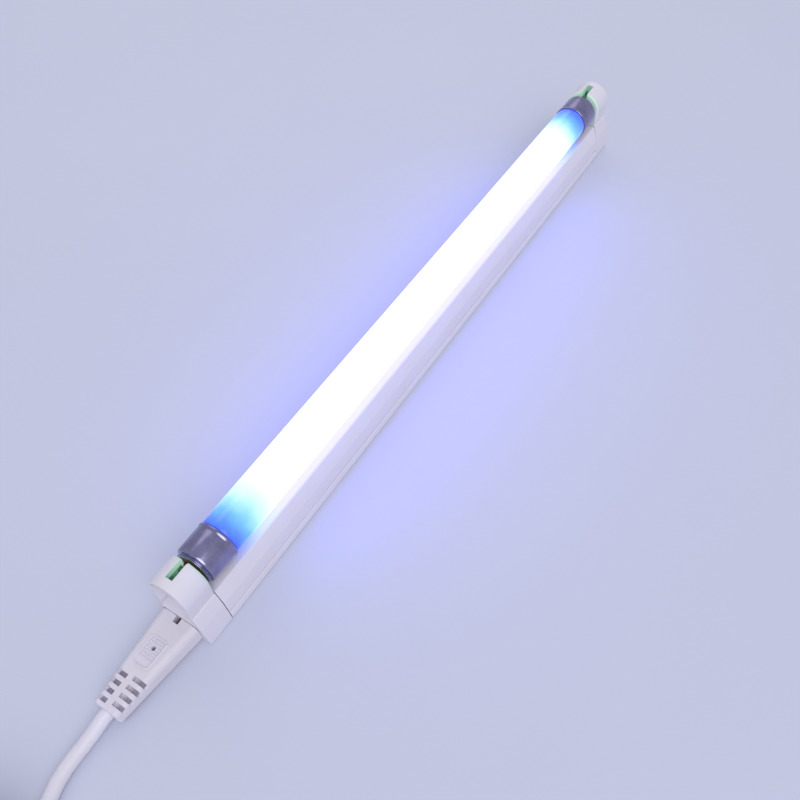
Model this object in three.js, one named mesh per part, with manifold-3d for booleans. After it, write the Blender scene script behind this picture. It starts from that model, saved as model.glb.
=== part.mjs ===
// A slim plug-in batten with an 8 W T5 fluorescent lamp, its control gear and its mains lead.
// Millimetres. The origin is under the middle of the fitting, on the surface it stands on,
// +X runs along the lamp away from the mains lead, and +Z is up.
import * as THREE from "three";
import { mergeVertices } from "three/addons/utils/BufferGeometryUtils.js";
import Module from "manifold-3d";

const wasm = await Module();
wasm.setup();

// ---- driving dimensions ----
const GAP = 0.3; // between pieces that touch
const EPS = 0.2; // how far a cutting tool runs past a face

const LAMP_FACE_X = 144.15; // half the length of the lamp, between its two cap faces
const LAMP_Z = 24.8; // height of the lamp's axis
const CAP_LENGTH = 12.5;
const CAP_R = 7.85;
const GLASS_R = 7.7;
const GLASS_WALL = 0.7;
const PIN_R = 1.18;
const PIN_REACH = 6.8; // how far a lamp pin stands out of its cap
const PIN_Y = 2.4; // half the pins' spacing

const SEAM_X = 145.2; // where the housing meets an end cap
const END_X = 156.3; // outer face of an end cap
const BASE_HALF = 10.4; // half the width at the base
const KINK_HALF = 9.4; // half the width where the wall leans in
const KINK_Z = 10;
const TOP_HALF = 7.4;
const TOP_Z = 16.5;
const WALL = 1.3;
const COVER_TOP_Z = 3.5; // top of the base cover's visible side
const HOUSING_FOOT_Z = 4.2; // lower edge of the housing's side
const COVER_FLOOR = 1.6;
const ARCH_R = 8.1; // lampholder's rounded top
const ARCH_FOOT_HALF = 7.3;

const ROTOR_R = 5;
const ROTOR_NECK_R = 3.6;
const ROTOR_CAVITY_R = ROTOR_R + GAP;
const ROTOR_FRONT_X = 146.7;
const ROTOR_BACK_X = 152.3;
const PIN_SLOT = 2.9; // width of the slot that the lamp pins drop through
const SLOT_END_X = 152.7;
const SPIGOT_LENGTH = 6; // how far an end cap reaches into the housing
const SPRING_ROOM_LOW_Z = 11.9;
const SPRING_FOOT_Z = 12.3;

const PORT_HALF = 6;
const PORT_LOW_Z = 2.4;
const PORT_HIGH_Z = 8.6;
const PORT_DEEP_X = 148.2;
const HOOD_HALF = 6.9;
const HOOD_Z = 11.2;
const RECESS_X = 153.1; // back wall of the hollow outer face
const RECESS_WALL = 1;
const INLET_PIN_Y = 3.2;
const INLET_PIN_R = 0.75;
const INLET_Z = (PORT_LOW_Z + PORT_HIGH_Z) / 2;
const INLET_PIN_BACK_X = 142.8; // where an inlet pin's soldered end stops
const BLOCK_HALF = 5.5; // the block that holds the inlet pins
const BLOCK_LOW_Z = 2.9;
const BLOCK_HIGH_Z = 8.9;
const BLOCK_BACK_X = 144;

const PLUG_IN_X = END_X + GAP; // the connector's shoulder
const CONNECTOR_END_X = 191.5;
const CONNECTOR_HALF = 8;
const CONNECTOR_END_HALF = 5.1;
const CONNECTOR_LOW_Z = 0.6;
const CONNECTOR_TOP_Z = 10;
const CONNECTOR_END_LOW_Z = 0.9;
const CONNECTOR_END_TOP_Z = 8.1;
const GRIP_X = 179.6; // where the first row of slots in the connector's tail starts
const GRIP_PITCH = 2.95;
const GRIP_SLOT = 1.45;
const GRIP_ROWS = 4;
const EYE_X = 168.8; // small hole in the connector's top
const EYE_R = 0.65;
const NOTCH_LENGTH = 2.3; // square notch in the connector's shoulder

const CORD_R = 2.5;
const CORD_SIDES = 8;
const HANK_RUN = 75; // straight length between the hank's two folds
const FOLD_R = 17.7; // fold radius of the wider turns
const TURNS = 5; // each turn nests on the one below
const TURN_STEP = 4.42; // height from one turn to the next
const HANK_X = -287.5; // middle of the hank
const HANK_LOW_Z = 1;
const HANK_TOP_Z = HANK_LOW_Z + 2 * CORD_R + (TURNS - 1) * TURN_STEP;
const WAIST_PULL = 11.5; // how far the tie draws each side in
const TIE_WIDTH = 9;
const TIE_THICK = 0.7;

const MAINS_PLUG_X = -368; // the mains plug's cord end
const MAINS_PLUG_Y = -2.6;
const MAINS_PLUG_Z = 6.9;
const MAINS_PLUG_LENGTH = 36;
const MAINS_PLUG_THICK = 13.2;
const PLUG_PIN_Y = 9.5; // half the spacing of the plug's pins
const PLUG_PIN_R = 2;
const PLUG_PIN_REACH = 19;
const PLUG_PIN_ROOT = 6; // how deep a pin sits in the plug

// ---- materials ----
const finish = (color, roughness, metalness = 0) =>
  new THREE.MeshStandardMaterial({ color, roughness, metalness });
const whitePlastic = () => finish(0xeceaf0, 0.42);
const whitePvc = () => finish(0xe4e2ea, 0.55);
const aluminium = () => finish(0xa9adb8, 0.32, 1);
const brass = () => finish(0xc9a75a, 0.35, 1);
const nickel = () => finish(0xc4c6ca, 0.25, 1);
const copperWire = () => finish(0xb8b8bc, 0.5);

// ---- solids ----
function toSolid(geometry) {
  const bare = geometry.clone();
  bare.deleteAttribute("normal");
  bare.deleteAttribute("uv");
  const merged = mergeVertices(bare, 1e-4);
  const vertProperties = new Float32Array(merged.attributes.position.array);
  const triVerts = new Uint32Array(merged.index.array);
  return new wasm.Manifold(new wasm.Mesh({ numProp: 3, vertProperties, triVerts }));
}

function toGeometry(solid) {
  const mesh = solid.getMesh();
  const geometry = new THREE.BufferGeometry();
  geometry.setAttribute("position", new THREE.BufferAttribute(mesh.vertProperties, 3));
  geometry.setIndex(new THREE.BufferAttribute(mesh.triVerts, 1));
  geometry.computeVertexNormals();
  return geometry;
}

function cut(body, ...tools) {
  return toGeometry(tools.reduce((rest, tool) => rest.subtract(toSolid(tool)), toSolid(body)));
}

function join(...pieces) {
  return toGeometry(pieces.map(toSolid).reduce((all, piece) => all.add(piece)));
}

function box(x0, x1, y0, y1, z0, z1) {
  const made = new THREE.BoxGeometry(x1 - x0, y1 - y0, z1 - z0);
  return made.translate((x0 + x1) / 2, (y0 + y1) / 2, (z0 + z1) / 2);
}

// A shape drawn in (y, z), pushed along X from x0 to x1.
function alongX(shape, x0, x1, curveSegments = 12, steps = 1) {
  const made = new THREE.ExtrudeGeometry(shape, {
    depth: x1 - x0,
    bevelEnabled: false,
    curveSegments,
    steps,
  });
  const turn = new THREE.Matrix4().makeBasis(
    new THREE.Vector3(0, 1, 0),
    new THREE.Vector3(0, 0, 1),
    new THREE.Vector3(1, 0, 0),
  );
  return made.applyMatrix4(turn).translate(x0, 0, 0);
}

// A profile of [x, radius] points, turned about a line along X through (y, z).
function turned(profile, y, z, segments = 32) {
  const points = profile.map(([x, r]) => new THREE.Vector2(r, x));
  const made = new THREE.LatheGeometry(points, segments);
  const turn = new THREE.Matrix4().makeBasis(
    new THREE.Vector3(0, 0, 1),
    new THREE.Vector3(1, 0, 0),
    new THREE.Vector3(0, 1, 0),
  );
  return made.applyMatrix4(turn).translate(0, y, z);
}

const rod = (x0, x1, r, y, z, segments = 20) =>
  turned([[x0, 0], [x0, r], [x1, r], [x1, 0]], y, z, segments);

// A closed outline with each corner rounded by its own radius: points are [y, z, radius].
function rounded(points) {
  const corner = points.map(([y, z]) => new THREE.Vector2(y, z));
  const shape = new THREE.Shape();
  points.forEach(([, , radius = 0], i) => {
    const here = corner[i];
    const before = corner[(i + points.length - 1) % points.length];
    const after = corner[(i + 1) % points.length];
    const from = here.clone().add(before.clone().sub(here).setLength(radius || 1e-6));
    const to = here.clone().add(after.clone().sub(here).setLength(radius || 1e-6));
    if (i === 0) shape.moveTo(radius ? from.x : here.x, radius ? from.y : here.y);
    else shape.lineTo(radius ? from.x : here.x, radius ? from.y : here.y);
    if (radius) shape.quadraticCurveTo(here.x, here.y, to.x, to.y);
  });
  shape.closePath();
  return shape;
}

const roundedBox = (halfY, z0, z1, r) =>
  rounded([[halfY, z0, r], [halfY, z1, r], [-halfY, z1, r], [-halfY, z0, r]]);

// Both halves of an outline that is the same on each side: right is listed from the bottom up.
const bothSides = (right) =>
  rounded([...right, ...right.toReversed().map(([y, z, r]) => [-y, z, r])]);

// A round tube along a smooth line through points.
function tube(points, radius, steps, sides = CORD_SIDES) {
  const ring = Array.from({ length: sides }, (_, i) => {
    const a = (2 * Math.PI * i) / sides;
    return new THREE.Vector2(radius * Math.cos(a), radius * Math.sin(a));
  });
  const places = points.map((p) => new THREE.Vector3(...p));
  const line = new THREE.CatmullRomCurve3(places, false, "centripetal");
  return new THREE.ExtrudeGeometry(new THREE.Shape(ring), { steps, extrudePath: line });
}

const mirroredX = (geometry) => {
  const made = geometry.index ? geometry.toNonIndexed() : geometry.clone();
  made.scale(-1, 1, 1);
  const p = made.attributes.position.array;
  for (let i = 0; i < p.length; i += 9)
    for (let k = 0; k < 3; k += 1) {
      const keep = p[i + 3 + k];
      p[i + 3 + k] = p[i + 6 + k];
      p[i + 6 + k] = keep;
    }
  return made;
};

// ---- the group ----
const fitting = new THREE.Group();
function add(name, geometry, material) {
  const mesh = new THREE.Mesh(geometry, material);
  mesh.name = name;
  fitting.add(mesh);
}

// Half width of the fitting's outside at height z, below the leaning shoulder.
const wallHalf = (z) => BASE_HALF + ((KINK_HALF - BASE_HALF) * z) / KINK_Z;

// ---- housing and base cover ----
function housing() {
  const outside = [
    [wallHalf(HOUSING_FOOT_Z), HOUSING_FOOT_Z, 0.25],
    [KINK_HALF, KINK_Z, 0.8],
    [TOP_HALF, TOP_Z, 0.9],
  ];
  const inside = [
    [-TOP_HALF + 0.75, TOP_Z - WALL],
    [-KINK_HALF + WALL, KINK_Z],
    [-wallHalf(HOUSING_FOOT_Z) + WALL, HOUSING_FOOT_Z],
  ];
  const outline = [
    ...outside,
    ...outside.toReversed().map(([y, z, r]) => [-y, z, r]),
    ...inside.toReversed(),
    ...inside.map(([y, z]) => [-y, z]),
  ];
  return alongX(rounded(outline), -SEAM_X + GAP, SEAM_X - GAP, 3);
}

function baseCover() {
  const upstand = wallHalf(HOUSING_FOOT_Z) - WALL - GAP;
  const right = [
    [BASE_HALF, 0, 0.4],
    [wallHalf(COVER_TOP_Z), COVER_TOP_Z, 0.25],
    [upstand, COVER_TOP_Z],
    [upstand - 0.35, 7],
    [upstand - 1.4, 7],
    [upstand - 1.2, COVER_FLOOR, 0.5],
  ];
  return alongX(bothSides(right), -SEAM_X + GAP, SEAM_X - GAP, 3);
}

// ---- end caps with their lampholders ----
function endCapOutline(inset) {
  const archFoot = ARCH_FOOT_HALF - inset;
  const archR = ARCH_R - inset;
  const lean = Math.atan2(ARCH_R - ARCH_FOOT_HALF, LAMP_Z - TOP_Z);
  const shape = new THREE.Shape();
  shape.moveTo(BASE_HALF - inset, inset);
  shape.lineTo(KINK_HALF - inset, KINK_Z);
  shape.lineTo(TOP_HALF + 0.4 - inset, TOP_Z - inset / 2 - 0.2);
  shape.lineTo(TOP_HALF + 0.3 - inset, TOP_Z - inset / 2);
  shape.lineTo(archFoot, TOP_Z - inset / 2);
  shape.absarc(0, LAMP_Z, archR, -lean, Math.PI + lean, false);
  shape.lineTo(-archFoot, TOP_Z - inset / 2);
  shape.lineTo(-TOP_HALF - 0.3 + inset, TOP_Z - inset / 2);
  shape.lineTo(-TOP_HALF - 0.4 + inset, TOP_Z - inset / 2 - 0.2);
  shape.lineTo(-KINK_HALF + inset, KINK_Z);
  shape.lineTo(-BASE_HALF + inset, inset);
  shape.closePath();
  return shape;
}

// The far end's cap, with no port: x runs from the seam to the outer face.
function endCapShell() {
  const spigot = bothSides([
    [6.6, 2.2, 0.4],
    [KINK_HALF - WALL - 1.7, KINK_Z],
    [TOP_HALF - 1.6, TOP_Z - WALL - GAP, 0.4],
  ]);
  const outside = join(
    alongX(endCapOutline(0), SEAM_X, END_X, 22),
    alongX(spigot, SEAM_X - SPIGOT_LENGTH, SEAM_X + EPS, 4),
  );
  const rotorRoom = rod(SEAM_X + 1.2, ROTOR_BACK_X + GAP, ROTOR_CAVITY_R, 0, LAMP_Z, 36);
  const window = rod(SEAM_X - EPS, SEAM_X + 2, PIN_Y + PIN_R + 0.7, 0, LAMP_Z, 28);
  const slot = box(SEAM_X - EPS, SLOT_END_X, -PIN_SLOT / 2, PIN_SLOT / 2, LAMP_Z, LAMP_Z + 10);
  const springRoom = box(SEAM_X + 1.2, ROTOR_BACK_X + GAP, -5, 5, SPRING_ROOM_LOW_Z, LAMP_Z);
  const wireRoom = box(SEAM_X - SPIGOT_LENGTH - 1, SEAM_X + 2, -4.4, 4.4, SPRING_ROOM_LOW_Z, 14);
  return cut(outside, rotorRoom, window, slot, springRoom, wireRoom);
}

function farEndCap() {
  const lining = box(SEAM_X - SPIGOT_LENGTH - 1, SEAM_X + 4, -5.4, 5.4, 3.6, 9.6);
  return cut(endCapShell(), lining);
}

function nearEndCap() {
  const hood = alongX(
    rounded([
      [HOOD_HALF, -1],
      [HOOD_HALF, HOOD_Z, 1.6],
      [-HOOD_HALF, HOOD_Z, 1.6],
      [-HOOD_HALF, -1],
    ]),
    RECESS_X - EPS,
    END_X + 1,
    4,
  );
  const hollow = alongX(endCapOutline(RECESS_WALL), RECESS_X, END_X + 1, 22);
  const port = box(PORT_DEEP_X, END_X + 1, -PORT_HALF, PORT_HALF, PORT_LOW_Z, PORT_HIGH_Z);
  const blockRoom = box(
    SEAM_X - SPIGOT_LENGTH - 1,
    PORT_DEEP_X + EPS,
    -BLOCK_HALF - GAP,
    BLOCK_HALF + GAP,
    BLOCK_LOW_Z - GAP,
    BLOCK_HIGH_Z + GAP,
  );
  return mirroredX(cut(endCapShell(), cut(hollow, hood), port, blockRoom));
}

// ---- lampholder rotor and contact springs, drawn for the far end ----
function rotor() {
  const neckFrom = ROTOR_FRONT_X + 1.5;
  const neckTo = ROTOR_BACK_X - 1.6;
  const spool = turned(
    [
      [ROTOR_FRONT_X, 0],
      [ROTOR_FRONT_X, ROTOR_R],
      [neckFrom, ROTOR_R],
      [neckFrom, ROTOR_NECK_R],
      [neckTo, ROTOR_NECK_R],
      [neckTo, ROTOR_R],
      [ROTOR_BACK_X, ROTOR_R],
      [ROTOR_BACK_X, 0],
    ],
    0,
    LAMP_Z,
    32,
  );
  const slotHalf = PIN_R + GAP;
  const slotEnd = LAMP_FACE_X + PIN_REACH + GAP;
  const slot = box(ROTOR_FRONT_X - 1, slotEnd, -6, 6, LAMP_Z - slotHalf, LAMP_Z + slotHalf);
  return cut(spool, slot);
}

function contactSpring(side) {
  const inner = PIN_Y + PIN_R + GAP;
  const leaf = rounded([
    [side * inner, LAMP_Z + 1.2],
    [side * (inner + 0.3), LAMP_Z + 2],
    [side * (inner + 0.6), LAMP_Z + 2],
    [side * (inner + 0.35), LAMP_Z + 1.1],
    [side * (inner + 0.35), LAMP_Z - 1.4],
    [side * (inner + 0.8), LAMP_Z - 5],
    [side * (inner + 0.8), SPRING_FOOT_Z],
    [side * (inner + 0.4), SPRING_FOOT_Z],
    [side * (inner + 0.4), LAMP_Z - 5],
    [side * inner, LAMP_Z - 1.6],
  ]);
  return alongX(leaf, ROTOR_FRONT_X + 1.9, ROTOR_BACK_X - 2, 1);
}

// ---- lamp, drawn for the far end ----
const JUNCTION_X = LAMP_FACE_X - CAP_LENGTH;
const NECK_R = 7.05;
const NECK_END_X = JUNCTION_X + 5;
const STEM_REACH = 14; // how far the stem stands into the lamp from its junction with the cap

function glassTube() {
  const half = [
    [JUNCTION_X - 1.2, GLASS_R],
    [JUNCTION_X - 0.9, GLASS_R - 0.1],
    [JUNCTION_X - 0.7, NECK_R],
    [NECK_END_X, NECK_R],
    [NECK_END_X, NECK_R - GLASS_WALL],
    [JUNCTION_X - 2, NECK_R - GLASS_WALL],
    [JUNCTION_X - 4, GLASS_R - GLASS_WALL],
  ];
  const mirrored = half.toReversed().map(([x, r]) => [-x, r]);
  return turned([...mirrored, ...half, mirrored[0]], 0, LAMP_Z, 40);
}

function lampCap() {
  const end = LAMP_FACE_X;
  return turned(
    [
      [JUNCTION_X - 0.4, 7.45],
      [JUNCTION_X - 0.4, 7.85],
      [JUNCTION_X, 8],
      [JUNCTION_X + 0.7, 8],
      [JUNCTION_X + 1, CAP_R],
      [end - 1.5, CAP_R],
      [end - 1.1, CAP_R - 0.15],
      [end - 0.95, CAP_R - 0.6],
      [end - 0.9, 6.55],
      [end - 0.5, 6.5],
      [end - 0.45, 6.75],
      [end - 0.1, 6.75],
      [end, 6.6],
      [end, 5.6],
      [end - 1.5, 5.6],
      [end - 1.5, 7.45],
      [JUNCTION_X - 0.4, 7.45],
    ],
    0,
    LAMP_Z,
    40,
  );
}

function pinDisc() {
  const disc = rod(LAMP_FACE_X - 1.5, LAMP_FACE_X - 0.3, 5.3, 0, LAMP_Z, 28);
  const holes = [-PIN_Y, PIN_Y].map((y) =>
    rod(LAMP_FACE_X - 3, LAMP_FACE_X + 1, PIN_R + 0.15, y, LAMP_Z, 16),
  );
  return cut(disc, ...holes);
}

function lampPin(y) {
  const tip = LAMP_FACE_X + PIN_REACH;
  const profile = [
    [LAMP_FACE_X - 2.4, 0],
    [LAMP_FACE_X - 2.4, PIN_R],
    [tip - 0.8, PIN_R],
    [tip - 0.2, PIN_R * 0.75],
    [tip, 0],
  ];
  return turned(profile, y, LAMP_Z, 16);
}

function stem() {
  const r = NECK_R - GLASS_WALL - GAP;
  return turned(
    [
      [JUNCTION_X - STEM_REACH, 0],
      [JUNCTION_X - STEM_REACH, 1.6],
      [JUNCTION_X - 2, 1.8],
      [JUNCTION_X + 1.5, 3],
      [NECK_END_X - 0.8, r],
      [NECK_END_X, r],
      [NECK_END_X, 0],
    ],
    0,
    LAMP_Z,
    24,
  );
}

function filament() {
  const near = JUNCTION_X - STEM_REACH - GAP;
  const far = near - 5;
  const line = [
    [near, -1, LAMP_Z],
    [far + 0.6, -2.6, LAMP_Z],
    [far, -2.2, LAMP_Z],
    [far, 2.2, LAMP_Z],
    [far + 0.6, 2.6, LAMP_Z],
    [near, 1, LAMP_Z],
  ];
  return tube(line, 0.3, 30, 8);
}

// ---- control gear ----
const BOARD_Z = 4.2;
const BOARD_TOP = BOARD_Z + 1.2;
const PART_Z = BOARD_TOP + GAP;

function board() {
  return box(-128, 52, -6.7, 6.7, BOARD_Z, BOARD_TOP);
}

// A ferrite core of two Es, seen as a block with two windows for the winding.
function chokeCore(x) {
  const block = box(x - 8, x + 8, -5.6, 5.6, PART_Z, PART_Z + 4.6);
  const windows = [-1, 1].map((side) =>
    box(x - 5.8, x + 5.8, side > 0 ? 2.1 : -4.1, side > 0 ? 4.1 : -2.1, PART_Z - 1, PART_Z + 6),
  );
  return cut(block, ...windows);
}

// The lower part of the winding fills the windows, and the coil bulges above the core.
function chokeWinding(x) {
  const z0 = PART_Z + 4.6 + GAP;
  const bulge = bothSides([
    [5, z0, 0.6],
    [4.2, z0 + 3.4, 1.4],
  ]);
  const coil = alongX(bulge, x - 5, x + 5, 4);
  const legs = [-1, 1].map((side) =>
    box(x - 5, x + 5, side > 0 ? 2.5 : -3.7, side > 0 ? 3.7 : -2.5, PART_Z + 0.4, z0 + 1),
  );
  return join(coil, ...legs);
}

function driverCore(x) {
  const middle = PART_Z + 2.2;
  const profile = [
    [2.1, -2.2],
    [4.8, -2.2],
    [5.2, -1.8],
    [5.2, 1.8],
    [4.8, 2.2],
    [2.1, 2.2],
    [2.1, -2.2],
  ];
  const ring = new THREE.LatheGeometry(profile.map(([r, h]) => new THREE.Vector2(r, h)), 24);
  return ring.rotateX(Math.PI / 2).translate(x, 0, middle);
}

function bulkCapacitor(x) {
  const r = 4;
  const profile = [
    [x, 0],
    [x, r - 0.4],
    [x + 0.4, r],
    [x + 1.6, r],
    [x + 2, r - 0.3],
    [x + 2.4, r],
    [x + 13, r],
    [x + 13, 0],
  ];
  return turned(profile, 0, PART_Z + r, 24);
}

function fuse(x) {
  const r = 1.8;
  const profile = [
    [x, 0],
    [x, r + 0.2],
    [x + 3, r + 0.2],
    [x + 3, r],
    [x + 9, r],
    [x + 9, r + 0.2],
    [x + 12, r + 0.2],
    [x + 12, 0],
  ];
  return turned(profile, -3.4, PART_Z + r + 0.2, 16);
}

function transistor(x) {
  const body = box(x - 3.8, x + 3.8, -1.2, 1.2, PART_Z + 1.6, PART_Z + 7.6);
  const legs = [-2.2, 0, 2.2].map((dx) =>
    box(x + dx - 0.4, x + dx + 0.4, -0.3, 0.3, PART_Z, PART_Z + 2),
  );
  return join(body, ...legs);
}

function filmCapacitor(x) {
  return alongX(roundedBox(4.6, PART_Z, PART_Z + 6.6, 0.8), x, x + 6, 3);
}

function rectifier(x) {
  return alongX(roundedBox(2.8, PART_Z, PART_Z + 2.4, 0.3), x, x + 6.4, 2);
}

// ---- inlet ----
function inletBlock() {
  const block = box(
    -PORT_DEEP_X + GAP,
    -BLOCK_BACK_X,
    -BLOCK_HALF,
    BLOCK_HALF,
    BLOCK_LOW_Z,
    BLOCK_HIGH_Z,
  );
  const holes = [-1, 1].map((side) =>
    rod(-PORT_DEEP_X - 1, -PORT_DEEP_X + 6, INLET_PIN_R + 0.15, side * INLET_PIN_Y, INLET_Z, 12),
  );
  return cut(block, ...holes);
}

function inletPin(side) {
  const profile = [
    [-END_X + 1.6, 0],
    [-END_X + 2, INLET_PIN_R * 0.7],
    [-END_X + 2.6, INLET_PIN_R],
    [-INLET_PIN_BACK_X, INLET_PIN_R],
    [-INLET_PIN_BACK_X, 0],
  ];
  return turned(profile, side * INLET_PIN_Y, INLET_Z, 12);
}

// ---- connector on the mains lead ----
// Its outline tapers evenly from the shoulder to the collar where the cord comes out.
function connectorBody() {
  const length = CONNECTOR_END_X - PLUG_IN_X;
  const midZ = (CONNECTOR_LOW_Z + CONNECTOR_TOP_Z) / 2;
  const endMidZ = (CONNECTOR_END_LOW_Z + CONNECTOR_END_TOP_Z) / 2;
  const shell = alongX(
    roundedBox(CONNECTOR_HALF, CONNECTOR_LOW_Z, CONNECTOR_TOP_Z, 2.6),
    -CONNECTOR_END_X,
    -PLUG_IN_X,
    5,
    8,
  );
  const p = shell.attributes.position;
  for (let i = 0; i < p.count; i += 1) {
    const t = (-PLUG_IN_X - p.getX(i)) / length;
    const wide = THREE.MathUtils.lerp(1, CONNECTOR_END_HALF / CONNECTOR_HALF, t);
    const high = THREE.MathUtils.lerp(
      1,
      (CONNECTOR_END_TOP_Z - CONNECTOR_END_LOW_Z) / (CONNECTOR_TOP_Z - CONNECTOR_LOW_Z),
      t,
    );
    p.setY(i, p.getY(i) * wide);
    p.setZ(i, THREE.MathUtils.lerp(midZ, endMidZ, t) + (p.getZ(i) - midZ) * high);
  }
  const nose = alongX(
    roundedBox(PORT_HALF - GAP, PORT_LOW_Z + GAP, PORT_HIGH_Z - GAP, 0.8),
    -PLUG_IN_X - 1,
    -PORT_DEEP_X - 0.8,
    3,
  );
  const bores = [-1, 1].map((side) =>
    rod(-PLUG_IN_X - 2, -PORT_DEEP_X + 1, 1.65, side * INLET_PIN_Y, INLET_Z, 16),
  );
  const slots = [];
  for (let row = 0; row < GRIP_ROWS; row += 1) {
    const x = -GRIP_X - GRIP_PITCH * row;
    const outer = 4.9 - 0.22 * row;
    for (const side of [-1, 1]) {
      const [y0, y1] = side > 0 ? [1, outer] : [-outer, -1];
      slots.push(box(x - GRIP_SLOT, x, y0, y1, 7.1 - 0.08 * row, 12));
      slots.push(box(x - GRIP_SLOT, x, y0, y1, -2, 2.3));
    }
  }
  const notchEnd = -PLUG_IN_X - NOTCH_LENGTH;
  const latchNotch = box(notchEnd, -PLUG_IN_X + 1, -1.15, 1.15, CONNECTOR_TOP_Z - 1.8, 12);
  const eye = new THREE.CylinderGeometry(EYE_R, EYE_R, 3, 14).rotateX(Math.PI / 2);
  eye.translate(-EYE_X, 0, CONNECTOR_TOP_Z);
  return cut(join(shell, nose), ...bores, ...slots, latchNotch, eye);
}

function connectorSleeve(side) {
  const x0 = -PLUG_IN_X - 1.6;
  const x1 = -PORT_DEEP_X - 1.2;
  return turned(
    [
      [x0, 1.05],
      [x0, 1.35],
      [x1, 1.35],
      [x1, 1.05],
      [x0, 1.05],
    ],
    side * INLET_PIN_Y,
    INLET_Z,
    16,
  );
}

// ---- power cord ----
// The cord leaves the connector's collar, comes down to the surface and runs to the hank, where
// it is wound in turns that climb from the surface. It leaves the top turn for the mains plug.
const leadOut = [
  [-CONNECTOR_END_X - 0.8, 0.5, 4.4],
  [-195, 0.8, 4],
  [-198.5, 1.1, 3.2],
  [-202.5, 1.5, 2.7],
  [-206.5, 1.6, 2.55],
  [-210.5, 1.4, 2.55],
  [-215, 0.6, 2.55],
  [-219.3, -0.8, 2.6],
  [-223, -2.4, 2.8],
  [-226.6, -4.6, 3],
];

const toPlug = [
  [-338.8, -17.5, 19.2],
  [-344, -16.4, 16.6],
  [-349, -13.8, 13.2],
  [-354, -10.2, 10],
  [-359, -6.6, 7.9],
  [-364, -3.8, 7],
  [MAINS_PLUG_X + 0.8, MAINS_PLUG_Y - 0.3, MAINS_PLUG_Z],
];

// How far the tie draws a run in, at a distance along the hank from its middle.
const pull = (x) => {
  const reach = HANK_RUN / 2 - 2;
  return Math.abs(x) < reach ? (WAIST_PULL * (1 + Math.cos((Math.PI * x) / reach))) / 2 : 0;
};

function cordHank() {
  const r = FOLD_R + CORD_R;
  const outline = [];
  const runSteps = 14;
  for (const side of [1, -1]) {
    for (let i = 0; i <= runSteps; i += 1) {
      const x = side * HANK_RUN * (0.5 - i / runSteps);
      outline.push([x, side * (r - pull(x))]);
    }
    for (let i = 1; i < 12; i += 1) {
      const a = Math.PI / 2 + (Math.PI * i) / 12;
      outline.push([side * (-HANK_RUN / 2 + r * Math.cos(a)), side * r * Math.sin(a)]);
    }
  }
  const shape = new THREE.Shape(outline.map(([x, y]) => new THREE.Vector2(x, y)));
  const depth = HANK_TOP_Z - HANK_LOW_Z;
  const made = new THREE.ExtrudeGeometry(shape, { depth, bevelEnabled: false });
  return made.translate(HANK_X, 0, HANK_LOW_Z);
}

function cordTie() {
  const half = FOLD_R + CORD_R - WAIST_PULL + GAP + 0.35;
  const low = HANK_LOW_Z - GAP;
  const high = HANK_TOP_Z + GAP;
  const band = roundedBox(half + TIE_THICK, low - TIE_THICK, high + TIE_THICK, 1);
  const hole = roundedBox(half, low, high, 0.4);
  const x0 = HANK_X - TIE_WIDTH / 2;
  const x1 = HANK_X + TIE_WIDTH / 2;
  return cut(alongX(band, x0, x1, 3), alongX(hole, x0 - 1, x1 + 1, 3));
}

// ---- mains plug: a flat two-pin plug ----
function plugBody() {
  const outline = new THREE.Shape();
  outline.moveTo(0, -4.2);
  outline.bezierCurveTo(-9, -5, -14, -8, -17, -15.5);
  outline.lineTo(3 - MAINS_PLUG_LENGTH, -17.6);
  outline.lineTo(-MAINS_PLUG_LENGTH, -16.2);
  outline.lineTo(-MAINS_PLUG_LENGTH, 16.2);
  outline.lineTo(3 - MAINS_PLUG_LENGTH, 17.6);
  outline.lineTo(-17, 15.5);
  outline.bezierCurveTo(-14, 8, -9, 5, 0, 4.2);
  outline.closePath();
  const bevelThickness = 1.9;
  const bevelSize = 1.6;
  const depth = MAINS_PLUG_THICK - 2 * bevelThickness;
  const flat = new THREE.ExtrudeGeometry(outline, {
    depth,
    bevelEnabled: true,
    bevelThickness,
    bevelSize,
    bevelOffset: -bevelSize,
    bevelSegments: 3,
    curveSegments: 8,
  });
  flat.translate(MAINS_PLUG_X, MAINS_PLUG_Y, MAINS_PLUG_Z - depth / 2);
  const face = MAINS_PLUG_X - MAINS_PLUG_LENGTH;
  const holes = [-PLUG_PIN_Y, PLUG_PIN_Y].map((y) =>
    rod(face - 4, face + PLUG_PIN_ROOT + 2, PLUG_PIN_R + GAP, MAINS_PLUG_Y + y, MAINS_PLUG_Z, 16),
  );
  return cut(flat, ...holes);
}

function plugPin(side) {
  const face = MAINS_PLUG_X - MAINS_PLUG_LENGTH;
  const tip = face - PLUG_PIN_REACH;
  const profile = [
    [tip, 0],
    [tip + 0.6, PLUG_PIN_R - 0.5],
    [tip + 1.6, PLUG_PIN_R],
    [face + PLUG_PIN_ROOT, PLUG_PIN_R],
    [face + PLUG_PIN_ROOT, 0],
  ];
  return turned(profile, MAINS_PLUG_Y + side * PLUG_PIN_Y, MAINS_PLUG_Z, 16);
}

// ---- assembly ----
add("housing", housing(), whitePlastic());
add("base_cover", baseCover(), whitePlastic());
add("near_end_cap", nearEndCap(), whitePlastic());
add("far_end_cap", farEndCap(), whitePlastic());

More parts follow.
